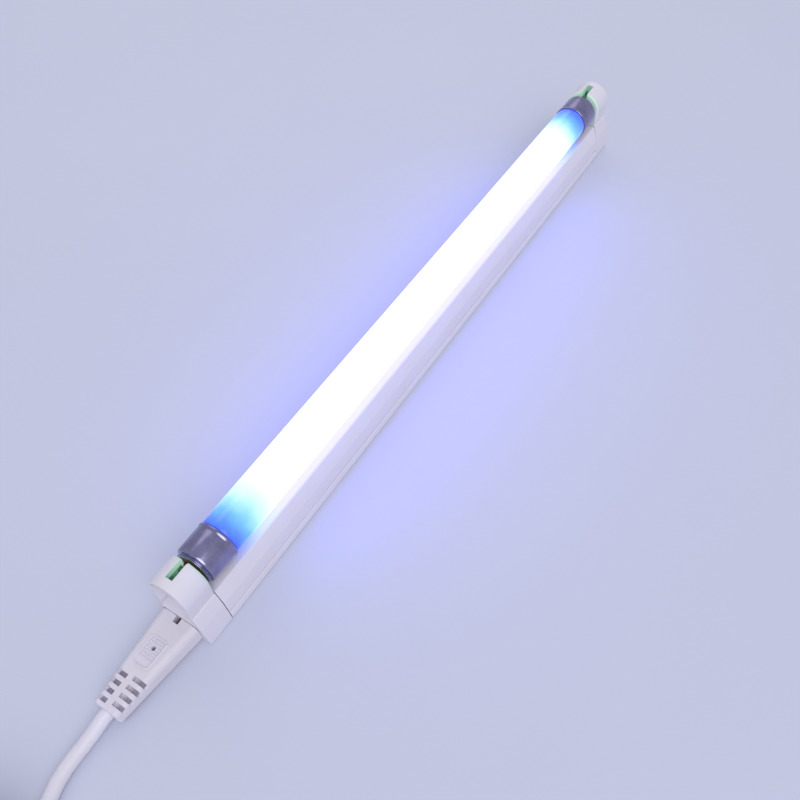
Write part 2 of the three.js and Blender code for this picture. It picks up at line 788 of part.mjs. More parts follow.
add("glass_tube", glassTube(), finish(0xdcefff, 0.12));
for (const end of ["near", "far"]) {
  const place = end === "near" ? mirroredX : (geometry) => geometry;
  add(`${end}_rotor`, place(rotor()), finish(0x9fe8a8, 0.5));
  add(`${end}_contact_left`, place(contactSpring(1)), brass());
  add(`${end}_contact_right`, place(contactSpring(-1)), brass());
  add(`${end}_lamp_cap`, place(lampCap()), aluminium());
  add(`${end}_pin_disc`, place(pinDisc()), finish(0x6b5138, 0.6));
  add(`${end}_lamp_pin_left`, place(lampPin(PIN_Y)), brass());
  add(`${end}_lamp_pin_right`, place(lampPin(-PIN_Y)), brass());
  add(`${end}_stem`, place(stem()), finish(0xcfe0e8, 0.1));
  add(`${end}_filament`, place(filament()), nickel());
}

add("ballast_board", board(), finish(0xb88a4a, 0.6));
add("choke_core", chokeCore(-12), finish(0x2b2b2e, 0.7));
add("choke_winding", chokeWinding(-12), finish(0xb5651d, 0.4));
add("driver_core", driverCore(12), finish(0x3a7a4a, 0.5));
add("bulk_capacitor", bulkCapacitor(-74), finish(0x1c2a4a, 0.35));
add("lamp_capacitor", filmCapacitor(28), finish(0x9c2a1e, 0.4));
add("transistor_high", transistor(-48), finish(0x1b1b1d, 0.5));
add("transistor_low", transistor(-34), finish(0x1b1b1d, 0.5));
add("fuse", fuse(-118), nickel());
add("rectifier", rectifier(-96), finish(0x1b1b1d, 0.5));

add("inlet_block", inletBlock(), finish(0xd8d4c8, 0.5));
const sides = Object.entries({ left: 1, right: -1 });
for (const [name, side] of sides) {
  add(`inlet_pin_${name}`, inletPin(side), nickel());
  const soldered = [-126, side * 2.6, PART_Z + 0.8];
  const inlet = [
    [-INLET_PIN_BACK_X + GAP, side * INLET_PIN_Y, INLET_Z],
    [-138, side * 3.3, INLET_Z + 0.4],
    [-132, side * 3, 7.4],
    soldered,
  ];
  add(`inlet_wire_${name}`, tube(inlet, 0.65, 10), copperWire());
  const nearWire = [
    [-147.6, side * 4.1, 13],
    [-143, side * 3.4, 13],
    [-137, side * 3.6, 13],
    [-131, side * 4.4, 11.4],
    [-125, side * 5, 8.6],
    [-121.5, side * 5.2, PART_Z + 1],
  ];
  add(`near_lamp_wire_${name}`, tube(nearWire, 0.6, 16), copperWire());
  const farWire = [
    [147.6, side * 4.1, 13],
    [143, side * 3.4, 13],
    [132, side * 4, 11],
    [105, side * 4.4, 6],
    [80, side * 4, 5],
    [60, side * 4.2, 7],
    [50, side * 5.2, PART_Z + 1.2],
  ];
  add(`far_lamp_wire_${name}`, tube(farWire, 0.6, 26), copperWire());
}

add("connector_body", connectorBody(), whitePvc());
add("connector_sleeve_left", connectorSleeve(1), nickel());
add("connector_sleeve_right", connectorSleeve(-1), nickel());
add("power_cord", tube(leadOut, CORD_R, 14), whitePvc());
add("cord_hank", cordHank(), whitePvc());
add("cord_tie", cordTie(), finish(0x2a2a2c, 0.6));
add("plug_cord", tube(toPlug, CORD_R, 14), whitePvc());
add("mains_plug", plugBody(), whitePvc());
add("mains_plug_pin_left", plugPin(1), nickel());
add("mains_plug_pin_right", plugPin(-1), nickel());

export default fitting;
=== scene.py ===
"""A lit fluorescent batten with its mains lead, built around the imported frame.

Shapes are drawn in millimetres, in the frame's axes, and made into meshes in metres.
"""

import math

import bmesh
import bpy
from mathutils import Matrix, Vector


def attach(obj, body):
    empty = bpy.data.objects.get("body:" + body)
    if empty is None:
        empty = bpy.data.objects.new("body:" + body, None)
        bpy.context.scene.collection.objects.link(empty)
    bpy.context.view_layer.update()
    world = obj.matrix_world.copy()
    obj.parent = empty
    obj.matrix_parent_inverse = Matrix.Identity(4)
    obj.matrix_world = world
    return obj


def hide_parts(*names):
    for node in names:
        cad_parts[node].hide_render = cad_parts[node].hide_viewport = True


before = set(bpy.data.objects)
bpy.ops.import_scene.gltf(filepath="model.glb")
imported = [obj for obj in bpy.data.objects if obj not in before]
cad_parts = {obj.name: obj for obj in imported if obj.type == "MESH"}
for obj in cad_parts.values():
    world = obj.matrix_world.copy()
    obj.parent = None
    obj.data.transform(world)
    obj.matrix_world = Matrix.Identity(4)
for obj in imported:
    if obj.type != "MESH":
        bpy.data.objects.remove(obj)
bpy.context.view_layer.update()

MM = 0.001
ENDS = {"near": -1, "far": 1}  # which way each end lies from the middle, along X
SIDES = ("left", "right")

# ---- sizes, in millimetres, as in the CAD part ----
SEAM_X = 145.2
END_X = 156.3
LAMP_Z = 24.8
LAMP_FACE_X = 144.15
JUNCTION_X = 131.65
GLASS_R = 7.7
NECK_R = 7.05
CAP_R = 7.85
BASE_HALF = 10.4
KINK_HALF = 9.4
KINK_Z = 10
TOP_HALF = 7.4
TOP_Z = 16.5
WALL = 1.3
COVER_TOP_Z = 3.5
HOUSING_FOOT_Z = 4.2
ARCH_R = 8.1
ARCH_FOOT_HALF = 7.3
SEAM_GAP = 0.3

CORD_R = 2.5
CONNECTOR_END_X = 191.5
HANK_X = -287.5
HANK_RUN = 75
HANK_LOW_Z = 1
WIDE_FOLD_R = 17.7
NARROW_FOLD_R = 15.1
TURN_STEP = 4.42
WAIST_PULL = 11.5
MAINS_PLUG = Vector((-368, -2.6, 6.9))

# ---- sizes of the visual's own details, in millimetres ----
ARCH_CHAMFER = (0.7, 0.6)  # along X and off the radius, on the side that faces the lamp
PIN_SLOT_HALF = 1.45
HOOD_X = 153.1  # where the hollow in the near end cap's face starts
HOOD_FLOOR_Z = 11.2  # the face is solid below this and hollow above
ROTOR_FRONT_X = 146.7
ROTOR_BACK_X = 152.3
ROTOR_R = 5
ROTOR_SLOT_END_X = 151.25
ROTOR_SLOT_HALF = 1.48
MERGE_DISTANCE = 0.003  # joins the doubled points that a boolean leaves


# ---- camera, placed where the photograph was taken from ----
def make_camera():
    data = bpy.data.cameras.new("camera")
    camera = bpy.data.objects.new("camera", data)
    bpy.context.scene.collection.objects.link(camera)
    right = Vector((0.5422, -0.8371, -0.0722)).normalized()
    up = Vector((0.6858, 0.3913, 0.6136))
    up = (up - up.dot(right) * right).normalized()
    back = right.cross(up)
    turn = Matrix((right, up, back)).transposed().to_4x4()
    camera.matrix_world = Matrix.Translation((-0.201684, -0.138219, 0.266427)) @ turn
    data.sensor_width = 36
    data.lens = 37.56
    data.clip_start = 0.01
    data.clip_end = 20
    bpy.context.scene.camera = camera


make_camera()


# ---- the cord's route ----
def smooth(t):
    return t * t * (3 - 2 * t)


def waist(x):
    """How far the tie draws a run in, at a distance along the hank from its middle."""
    reach = HANK_RUN / 2 - 2
    return WAIST_PULL * (1 + math.cos(math.pi * x / reach)) / 2 if abs(x) < reach else 0


def fold_radius(turn):
    return WIDE_FOLD_R if turn % 2 == 0 else NARROW_FOLD_R


def hank_run(turn, side, steps=26):
    """A run from one fold to the other: side -1 goes to -X and side 1 to +X."""
    z = HANK_LOW_Z + CORD_R + turn * TURN_STEP
    points = []
    for i in range(steps):
        x = side * HANK_RUN * (i / steps - 0.5)
        y = side * (fold_radius(turn) - waist(x))
        points.append((HANK_X + x, y, z))
    return points


def hank_fold(turn, side, steps=24):
    """The half circle at the end of a run. At the +X end it climbs to the next turn."""
    climbs = side > 0
    points = []
    for i in range(steps):
        t = i / steps
        share = smooth(t) if climbs else 0
        r = fold_radius(turn) + share * (fold_radius(turn + 1) - fold_radius(turn))
        lift = 0.65 * turn * math.sin(math.pi * t) ** 2 if climbs else 0
        z = HANK_LOW_Z + CORD_R + (turn + share) * TURN_STEP + lift
        angle = math.pi * t
        x = HANK_X + side * (HANK_RUN / 2 + r * math.sin(angle))
        points.append((x, side * r * math.cos(angle), z))
    return points


def cord_route():
    """From inside the connector's collar to inside the mains plug's tail."""
    points = [
        (-189.5, 1.6, 4.5),
        (-191.5, 1.62, 4.45),
        (-193.5, 1.65, 4.25),
        (-196, 1.68, 3.75),
        (-199, 1.72, 3.1),
        (-202.5, 1.78, 2.68),
        (-206.5, 1.8, 2.53),
        (-210.5, 1.55, 2.5),
        (-215, 0.75, 2.5),
        (-219.3, -0.7, 2.5),
        (-223, -2.5, 2.55),
        (-226.5, -5, 2.65),
        (-230, -8.4, 2.8),
        (-233.5, -11.7, 3),
        (-237.5, -14.6, 3.2),
        (-242, -16.7, 3.4),
        (-246, -17.5, 3.48),
    ]
    for turn in range(4):
        points += hank_run(turn, -1) + hank_fold(turn, -1)
        points += hank_run(turn, 1) + hank_fold(turn, 1)
    points += hank_run(4, -1)
    points += [
        (-325, -17.7, 21.18),
        (-329, -17.75, 21.1),
        (-333, -17.75, 20.7),
        (-337, -17.6, 19.9),
        (-341, -17.1, 18.4),
        (-345, -16, 16.2),
        (-349, -13.9, 13.4),
        (-353, -11, 10.8),
        (-357, -7.9, 8.7),
        (-361, -5.2, 7.4),
        (-365, -3.4, 6.95),
        (-368.5, -2.75, 6.9),
        (-372, -2.6, 6.9),
    ]
    return [Vector(p) for p in points]


# ---- mesh code ----
def link(name, mesh):
    piece = bpy.data.objects.new(name, mesh)
    bpy.context.scene.collection.objects.link(piece)
    return piece


def solid(name, rings, closed=False):
    """A closed surface through rings of points in mm, each ring with the same number of points.

    The ends are capped, unless the last ring joins the first.
    """
    made = bmesh.new()
    count = len(rings[0])
    loops = [[made.verts.new(Vector(p) * MM) for p in ring] for ring in rings]
    spans = list(zip(loops, loops[1:])) + ([(loops[-1], loops[0])] if closed else [])
    for one, two in spans:
        for i in range(count):
            j = (i + 1) % count
            made.faces.new((one[i], one[j], two[j], two[i]))
    if not closed:
        made.faces.new(reversed(loops[0]))
        made.faces.new(loops[-1])
    bmesh.ops.recalc_face_normals(made, faces=made.faces)
    mesh = bpy.data.meshes.new(name)
    made.to_mesh(mesh)
    made.free()
    mesh.shade_smooth()
    return link(name, mesh)


def prism(name, outline, x0, x1):
    """An outline of (y, z) points, pushed along X."""
    return solid(name, [[(x, y, z) for y, z in outline] for x in (x0, x1)])


def block(x0, x1, y0, y1, z0, z1):
    return prism("tool", [(y0, z0), (y1, z0), (y1, z1), (y0, z1)], x0, x1)


def turned(name, profile, y=0, z=LAMP_Z, segments=64, axis="X"):
    """A closed profile of (x, radius) points, turned about a line along X, or along Z."""
    made = bmesh.new()
    rings = []
    for x, r in profile:
        ring = []
        for i in range(segments if r > 0 else 1):
            a = 2 * math.pi * i / segments
            ring.append(made.verts.new(Vector((x, y + r * math.cos(a), z + r * math.sin(a))) * MM))
        rings.append(ring)
    on_axis = profile[0][1] == 0
    spans = list(zip(rings, rings[1:])) + ([] if on_axis else [(rings[-1], rings[0])])
    for one, two in spans:
        for i in range(segments):
            j = (i + 1) % segments
            corners = [one[i % len(one)], one[j % len(one)], two[j % len(two)], two[i % len(two)]]
            corners = list(dict.fromkeys(corners))
            if len(corners) > 2:
                made.faces.new(corners)
    bmesh.ops.recalc_face_normals(made, faces=made.faces)
    mesh = bpy.data.meshes.new(name)
    made.to_mesh(mesh)
    made.free()
    mesh.shade_smooth()
    piece = link(name, mesh)
    if axis == "Z":
        piece.data.transform(Matrix.Rotation(math.radians(-90), 4, "Y"))
    return piece


def rod(x0, x1, r, y, z, segments=40):
    return turned("tool", [(x0, 0), (x0, r), (x1, r), (x1, 0)], y, z, segments)


def moved(piece, x, y):
    piece.data.transform(Matrix.Translation(Vector((x, y, 0)) * MM))
    return piece


def settle(piece):
    """Applies the piece's modifiers."""
    bpy.context.view_layer.update()
    shape = piece.evaluated_get(bpy.context.evaluated_depsgraph_get())
    mesh = bpy.data.meshes.new_from_object(shape)
    piece.modifiers.clear()
    old = piece.data
    piece.data = mesh
    bpy.data.meshes.remove(old)


def combined(piece, operation, tools):
    for tool in tools:
        change = piece.modifiers.new("change", "BOOLEAN")
        change.operation = operation
        change.solver = "EXACT"
        change.object = tool
    settle(piece)
    for tool in tools:
        bpy.data.objects.remove(tool)
    made = bmesh.new()
    made.from_mesh(piece.data)
    bmesh.ops.remove_doubles(made, verts=made.verts, dist=MERGE_DISTANCE * MM)
    made.to_mesh(piece.data)
    made.free()
    piece.data.shade_smooth()
    return piece


def carve(piece, *tools):
    return combined(piece, "DIFFERENCE", tools)


def weld(piece, *others):
    return combined(piece, "UNION", others)


def joined(name, pieces):
    """Separate closed shells as one mesh."""
    made = bmesh.new()
    for piece in pieces:
        made.from_mesh(piece.data)
        bpy.data.objects.remove(piece)
    mesh = bpy.data.meshes.new(name)
    made.to_mesh(mesh)
    made.free()
    return link(name, mesh)


def soften(piece, width, segments=3, angle=35, clamp=False):
    """Rounds the edges that turn by more than an angle, in mm and degrees."""
    edge = piece.modifiers.new("edges", "BEVEL")
    edge.width = width * MM
    edge.segments = segments
    edge.limit_method = "ANGLE"
    edge.angle_limit = math.radians(angle)
    edge.use_clamp_overlap = clamp
    edge.harden_normals = True


def place(piece, body, *nodes, slot, material=None):
    """The piece rides a body, stands for CAD nodes and takes a material; its slot name is not used."""
    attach(piece, body)
    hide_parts(*nodes)
    if material:
        piece.data.materials.clear()
        piece.data.materials.append(material)


def arc(cy, cz, r, start, end, steps):
    """Points on a circle, from one angle to another, in degrees from +Y towards +Z."""
    angles = [math.radians(start + (end - start) * i / steps) for i in range(steps + 1)]
    return [(cy + r * math.cos(a), cz + r * math.sin(a)) for a in angles]


def rounded(corners, steps=5):
    """An outline with rounded corners: each corner is (y, z, radius)."""
    points = []
    count = len(corners)
    for i, (y, z, r) in enumerate(corners):
        here = Vector((y, z))
        if not r:
            points.append((y, z))
            continue
        before = Vector(corners[i - 1][:2])
        after = Vector(corners[(i + 1) % count][:2])
        back = (before - here).normalized()
        onward = (after - here).normalized()
        half = back.angle(onward) / 2
        reach = r / math.tan(half)
        centre = here + (back + onward).normalized() * (r / math.sin(half))
        start, end = here + back * reach - centre, here + onward * reach - centre
        turn = start.angle_signed(end)
        for k in range(steps + 1):
            spoke = start.copy()
            spoke.rotate(Matrix.Rotation(-turn * k / steps, 2))
            points.append(tuple(centre + spoke))
    return points


def span(way, near_lamp, away):
    """An interval along X at the far end, or mirrored to the near end where way is -1."""
    return (near_lamp, away) if way > 0 else (-away, -near_lamp)


def both_sides(right):
    """An outline that is the same on both sides: right is listed from the bottom up."""
    return right + [(-y, z, r) for y, z, r in reversed(right)]


def rounded_box(half, low, high, r, steps=6):
    corners = [(half, low, r), (half, high, r), (-half, high, r), (-half, low, r)]
    return rounded(corners, steps)


# ---- cord ----
def make_cord(route, sides=16):
    """A round tube along the route, whose ring of points doesn't twist."""
    rings = []
    angles = [2 * math.pi * k / sides for k in range(sides)]
    upper = Vector((0, 0, 1))
    for i, here in enumerate(route):
        along = (route[min(i + 1, len(route) - 1)] - route[max(i - 1, 0)]).normalized()
        upper = (upper - upper.dot(along) * along).normalized()
        across = along.cross(upper)
        rings.append(
            [here + CORD_R * (math.cos(a) * upper + math.sin(a) * across) for a in angles]
        )
    return solid("mains_cord", rings)


ROUTE = cord_route()
cord = make_cord(ROUTE)
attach(cord, "mains_lead")
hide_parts("power_cord", "cord_hank", "plug_cord")


# ---- materials ----
class Nodes:
    """Short calls for building a node material around one Principled shader."""

    def __init__(self, name):
        self.material = bpy.data.materials.new(name)
        self.material.use_nodes = True
        self.tree = self.material.node_tree
        self.shader = self.tree.nodes["Principled BSDF"]
        self.coordinates = self.tree.nodes.new("ShaderNodeTexCoord").outputs["Object"]

    def link(self, source, target):
        self.tree.links.new(source, target)

    def set(self, **values):
        for key, value in values.items():
            self.shader.inputs[key.replace("_", " ")].default_value = value

    def stretched(self, x=1, y=1, z=1):
        node = self.tree.nodes.new("ShaderNodeMapping")
        node.inputs["Scale"].default_value = (x, y, z)
        self.link(self.coordinates, node.inputs["Vector"])
        return node.outputs["Vector"]

    def noise(self, scale, detail=4, rough=0.55, where=None, distortion=0):
        node = self.tree.nodes.new("ShaderNodeTexNoise")
        node.inputs["Scale"].default_value = scale
        node.inputs["Detail"].default_value = detail
        node.inputs["Roughness"].default_value = rough
        node.inputs["Distortion"].default_value = distortion
        self.link(where or self.coordinates, node.inputs["Vector"])
        return node.outputs["Fac"]

    def spread(self, value, low, high, start=0.3, end=0.7):
        """A value from start..end, carried to low..high."""
        node = self.tree.nodes.new("ShaderNodeMapRange")
        for key, number in (
            ("From Min", start),
            ("From Max", end),
            ("To Min", low),
            ("To Max", high),
        ):
            node.inputs[key].default_value = number
        self.link(value, node.inputs["Value"])
        return node.outputs["Result"]

    def ramp(self, value, stops):
        node = self.tree.nodes.new("ShaderNodeValToRGB")
        ramp = node.color_ramp
        while len(ramp.elements) < len(stops):
            ramp.elements.new(0.5)
        for element, (position, colour) in zip(ramp.elements, stops):
            element.position = position
            element.color = (*colour, 1)
        self.link(value, node.inputs["Fac"])
        return node.outputs["Color"]

    def mix(self, share, one, two):
        node = self.tree.nodes.new("ShaderNodeMix")
        node.data_type = "RGBA"
        factor, colour_one, colour_two = node.inputs[0], node.inputs[6], node.inputs[7]
        for socket, value in ((factor, share), (colour_one, one), (colour_two, two)):
            if isinstance(value, bpy.types.NodeSocket):
                self.link(value, socket)
            elif isinstance(value, (int, float)):
                socket.default_value = value
            else:
                socket.default_value = (*value, 1)
        return node.outputs[2]

    def math(self, operation, one, two=0.5):
        node = self.tree.nodes.new("ShaderNodeMath")
        node.operation = operation
        for socket, value in zip(node.inputs, (one, two)):
            if isinstance(value, bpy.types.NodeSocket):
                self.link(value, socket)
            else:
                socket.default_value = value
        return node.outputs[0]

    def edges(self, low=0.5, high=0.62):
        """1 on worn outer edges, 0 elsewhere."""
        point = self.tree.nodes.new("ShaderNodeNewGeometry").outputs["Pointiness"]
        return self.spread(point, 0, 1, low, high)

    def bump(self, height, strength, distance, under=None):
        node = self.tree.nodes.new("ShaderNodeBump")
        node.inputs["Strength"].default_value = strength
        node.inputs["Distance"].default_value = distance * MM
        self.link(height, node.inputs["Height"])
        if under:
            self.link(under, node.inputs["Normal"])
        return node.outputs["Normal"]

    def relief(self, *layers):
        """Bump from layers of (height, strength, distance in mm), each on the one before."""
        normal = None
        for height, strength, distance in layers:
            normal = self.bump(height, strength, distance, normal)
        self.link(normal, self.shader.inputs["Normal"])


def moulded(name, colour, roughness, grime=0.06, grain=0.25, coat=0.0, scatter=0.0):
    """Moulded plastic: fine mould grain, slow waviness, handling marks and paler edges."""
    n = Nodes(name)
    dull = tuple(c * (1 - grime) for c in colour)
    yellowed = (colour[0] * (1 - grime * 0.3), colour[1] * (1 - grime * 0.6), dull[2] * 0.97)
    patches = n.spread(n.noise(55, 6, 0.6), 0, 1)
    flecks = n.spread(n.noise(900, 3, 0.7), 0, 1, 0.62, 0.78)
    body = n.mix(patches, colour, yellowed)
    body = n.mix(n.math("MULTIPLY", flecks, 0.35), body, dull)
    pale = tuple(min(1, c * 1.08 + 0.01) for c in colour)
    n.link(n.mix(n.math("MULTIPLY", n.edges(), 0.6), body, pale), n.shader.inputs["Base Color"])
    smears = n.noise(160, 5, 0.65, n.stretched(0.35, 1, 1), 0.6)
    n.link(n.spread(smears, roughness - 0.07, roughness + 0.09), n.shader.inputs["Roughness"])
    n.relief(
        (n.noise(70, 2), 0.05, 0.6),
        (n.noise(2600, 2), grain, 0.02),
        (n.noise(420, 6, 0.7, n.stretched(0.1, 1, 1)), 0.1, 0.02),
    )
    n.set(Coat_Weight=coat, Coat_Roughness=0.2)
    n.set(Subsurface_Weight=scatter, Subsurface_Radius=(1, 0.9, 0.8), Subsurface_Scale=0.0006)
    return n.material


def metal(
    name, colour, roughness, tarnish=0.1, lines=(40, 1, 1), line_strength=0.2, streaks=0.08
):
    """Drawn or plated metal: fine lines round or along it, dull patches and soft dents."""
    n = Nodes(name)
    dark = tuple(c * (1 - tarnish) * 0.85 for c in colour)
    patches = n.spread(n.noise(140, 6, 0.65), 0, 1, 0.35, 0.75)
    n.link(n.mix(patches, colour, dark), n.shader.inputs["Base Color"])
    drawn = n.noise(60, 5, 0.7, n.stretched(*lines))
    n.link(n.spread(drawn, roughness - streaks, roughness + streaks), n.shader.inputs["Roughness"])
    n.relief((n.noise(90, 2), 0.08, 0.5), (drawn, line_strength, 0.02))
    n.set(Metallic=1.0)
    return n.material


def stone(name, colour, roughness, scale=1500, strength=0.3):
    """Ferrite, epoxy and other matt blocks with a granular skin."""
    n = Nodes(name)
    pale = tuple(min(1, c * 1.5 + 0.02) for c in colour)
    body = n.mix(n.spread(n.noise(scale, 4, 0.7), 0, 1), colour, pale)
    n.link(n.mix(n.edges(), body, pale), n.shader.inputs["Base Color"])
    n.link(n.spread(n.noise(200), roughness - 0.1, roughness + 0.1), n.shader.inputs["Roughness"])
    n.relief((n.noise(scale, 4), strength, 0.03))
    return n.material


def laminate(name):
    """Phenolic board: pressed fibres, darker resin patches."""
    n = Nodes(name)
    fibres = n.noise(500, 6, 0.7, n.stretched(0.15, 1, 1))
    body = n.mix(n.spread(fibres, 0, 1), (0.46, 0.29, 0.1), (0.64, 0.45, 0.2))
    n.link(
        n.mix(n.spread(n.noise(60), 0, 0.5), body, (0.36, 0.2, 0.07)), n.shader.inputs["Base Color"]
    )
    n.link(n.spread(fibres, 0.35, 0.6), n.shader.inputs["Roughness"])
    n.relief((fibres, 0.25, 0.03))
    return n.material


def wound(name, colour, pitch=0.9):
    """Varnished wire wound round a core, with a ridge at every pitch in mm along X and painted shade in
    the grooves between the turns.
    """
    n = Nodes(name)
    wave = n.tree.nodes.new("ShaderNodeTexWave")
    wave.bands_direction = "X"
    radians_per_unit = 20  # of the wave texture at a scale of 1
    wave.inputs["Scale"].default_value = 2 * math.pi / (radians_per_unit * pitch * MM)
    wave.inputs["Distortion"].default_value = 1.2
    wave.inputs["Detail"].default_value = 2
    n.link(n.coordinates, wave.inputs["Vector"])
    # Painted shade: the colour darkens in the grooves between the turns.
    dark = tuple(c * 0.35 for c in colour)
    n.link(n.mix(wave.outputs["Fac"], dark, colour), n.shader.inputs["Base Color"])
    n.link(n.spread(n.noise(300), 0.25, 0.42), n.shader.inputs["Roughness"])
    n.relief((wave.outputs["Fac"], 0.6, 0.2))
    n.set(Metallic=0.4, Coat_Weight=0.6, Coat_Roughness=0.15)
    return n.material


def clear_glass():
    """Glass of the stems inside the lamp."""
    n = Nodes("clear_glass")
    n.link(n.spread(n.noise(80), 0.02, 0.08), n.shader.inputs["Roughness"])
    n.link(
        n.mix(n.noise(40), (0.86, 0.93, 0.95), (0.94, 0.98, 1)), n.shader.inputs["Base Color"]
    )
    n.relief((n.noise(120, 2), 0.06, 0.3))
    n.set(Transmission_Weight=0.9, IOR=1.5)
    return n.material


# Colour of the lit coating's light, by distance from the lamp's middle in mm.
GLOW = [
    (104, (0.19, 0.19, 1)),
    (112, (0.16, 0.19, 0.55)),
    (117, (0.11, 0.17, 0.3)),
    (120.5, (0.055, 0.13, 0.21)),
    (124, (0.022, 0.08, 0.18)),
    (128, (0.008, 0.035, 0.16)),
    (131.6, (0.002, 0.009, 0.14)),
]
GLOW_STRENGTH = 6


def lit_glass():
    """Glass with its coating lit from inside: white in the middle, blue at the cooler ends."""
    n = Nodes("lamp_glass")
    apart = n.tree.nodes.new("ShaderNodeSeparateXYZ")
    n.link(n.coordinates, apart.inputs[0])
    wobble = n.spread(n.noise(110, 3), -0.0012, 0.0012)
    along = n.math("ADD", n.math("ABSOLUTE", apart.outputs["X"]), wobble)
    first, last = GLOW[0][0], GLOW[-1][0]
    share = n.spread(along, 0, 1, first * MM, last * MM)
    stops = [((x - first) / (last - first), colour) for x, colour in GLOW]
    n.link(n.ramp(share, stops), n.shader.inputs["Emission Color"])
    powder = n.noise(1400, 4, 0.7)
    n.link(
        n.mix(n.spread(powder, 0, 1), (0.05, 0.08, 0.2), (0.08, 0.12, 0.26)),
        n.shader.inputs["Base Color"],
    )
    n.link(n.spread(n.noise(35, 4), 0.06, 0.16), n.shader.inputs["Roughness"])
    n.relief((n.noise(60, 2), 0.04, 0.3))
    n.set(Emission_Strength=GLOW_STRENGTH, Coat_Weight=0.6, Coat_Roughness=0.05)
    return n.material


def glowing_plastic():
    """The rotor's dark green plastic, which glows a little in the lamp's light."""
    n = Nodes("rotor_plastic")
    n.link(
        n.mix(n.spread(n.noise(200, 5), 0, 1), (0.04, 0.15, 0.08), (0.07, 0.2, 0.12)),
        n.shader.inputs["Base Color"],
    )
    n.link(n.spread(n.noise(300), 0.35, 0.55), n.shader.inputs["Roughness"])
    n.relief((n.noise(2200, 2), 0.2, 0.02))
    n.set(Emission_Color=(0.2, 0.7, 0.3, 1), Emission_Strength=0.01)
    return n.material


def painted_light_plastic():
    """The end caps' plastic with the lamp end's green light painted on it: a painted glow and green
    tint, fading away and downwards.
    """
    n = Nodes("painted_light_plastic")
    apart = n.tree.nodes.new("ShaderNodeSeparateXYZ")
    n.link(n.coordinates, apart.inputs[0])
    distance = n.math("ABSOLUTE", apart.outputs["X"])
    # Painted light: the green light of the lamp's end, as a glow and a green tint, fading away from the
    # lamp and towards the bottom.
    share = n.spread(distance, 0, 1, 145 * MM, 152.7 * MM)
    stops = [(0, (0.42, 0.68, 0.5)), (0.5, (0.25, 0.56, 0.36)), (1, (0.03, 0.17, 0.12))]
    height = n.spread(apart.outputs["Z"], 0, 1, 19 * MM, 30 * MM)
    painted_glow = n.mix(height, (0.04, 0.05, 0.06), n.ramp(share, stops))
    n.link(painted_glow, n.shader.inputs["Emission Color"])
    painted_green_tint = n.mix(n.spread(n.noise(200, 5), 0, 1), (0.44, 0.58, 0.5), (0.52, 0.65, 0.57))
    n.link(n.mix(height, (0.7, 0.72, 0.76), painted_green_tint), n.shader.inputs["Base Color"])
    n.link(n.spread(n.noise(300), 0.35, 0.5), n.shader.inputs["Roughness"])
    n.relief((n.noise(2200, 2), 0.15, 0.02))
    n.set(Emission_Strength=0.4)
    return n.material


WHITE = (0.77, 0.745, 0.84)
materials = {
    "white_plastic": moulded("white_plastic", WHITE, 0.36, grain=0.18, scatter=0.12),
    "white_pvc": moulded("white_pvc", (0.74, 0.715, 0.82), 0.5, grime=0.1, grain=0.35, scatter=0.2),
    "cord_pvc": moulded("cord_pvc", (0.76, 0.74, 0.84), 0.42, grime=0.1, grain=0.2, scatter=0.2),
    "insulator": moulded("insulator", (0.2, 0.13, 0.08), 0.55, grime=0.2, grain=0.4),
    "tie": moulded("cord_tie", (0.03, 0.03, 0.033), 0.5, grime=0.3, grain=0.6),
    "wire_sleeve": moulded("wire_sleeve", (0.5, 0.5, 0.53), 0.45, grime=0.15),
    "capacitor_sleeve": moulded("capacitor_sleeve", (0.015, 0.02, 0.07), 0.3, grime=0.2, coat=0.5),
    "capacitor_film": moulded("capacitor_film", (0.36, 0.04, 0.02), 0.3, grime=0.2, coat=0.6),
    # The lamp cap's dark blue-violet colour is the lamp's light painted in as a reflection.
    "aluminium": metal(
        "lamp_cap_metal", (0.35, 0.33, 0.52), 0.2, 0.25, (12, 1, 1), 0.01, streaks=0.02
    ),
    "nickel": metal("nickel", (0.7, 0.69, 0.66), 0.2, 0.15, (30, 1, 1), 0.12),
    "brass": metal("brass", (0.72, 0.5, 0.2), 0.26, 0.3, (30, 1, 1), 0.15),
    "ferrite": stone("ferrite", (0.035, 0.035, 0.04), 0.7),
    "epoxy": stone("black_epoxy", (0.02, 0.02, 0.022), 0.5, 2400, 0.2),
    "board": laminate("circuit_board"),
    "winding": wound("winding", (0.62, 0.24, 0.07)),
    "clear_glass": clear_glass(),
    "lit_glass": lit_glass(),
    "rotor": glowing_plastic(),
    "painted_light_plastic": painted_light_plastic(),
}
cord.data.materials.append(materials["cord_pvc"])


# ---- housing and base cover ----
def wall_half(z):
    return BASE_HALF + (KINK_HALF - BASE_HALF) * z / KINK_Z


def make_housing():
    outside = [
        (wall_half(HOUSING_FOOT_Z), HOUSING_FOOT_Z, 0.2),
        (KINK_HALF, KINK_Z, 2.2),
        (TOP_HALF, TOP_Z, 0.9),
    ]
    inside = [
        (-TOP_HALF + 0.75, TOP_Z - WALL, 0.4),
        (-KINK_HALF + WALL, KINK_Z, 1.5),
        (-wall_half(HOUSING_FOOT_Z) + WALL, HOUSING_FOOT_Z, 0.2),
    ]
    mirrored = [(-y, z, r) for y, z, r in reversed(outside)]
    corners = outside + mirrored + inside[::-1] + [(-y, z, r) for y, z, r in inside]
    outline = rounded(corners)
    piece = prism("housing_shell", outline, -SEAM_X + SEAM_GAP, SEAM_X - SEAM_GAP)
    soften(piece, 0.18, 3, 50)
    place(piece, "fitting", "housing", slot="white_plastic", material=materials["white_plastic"])


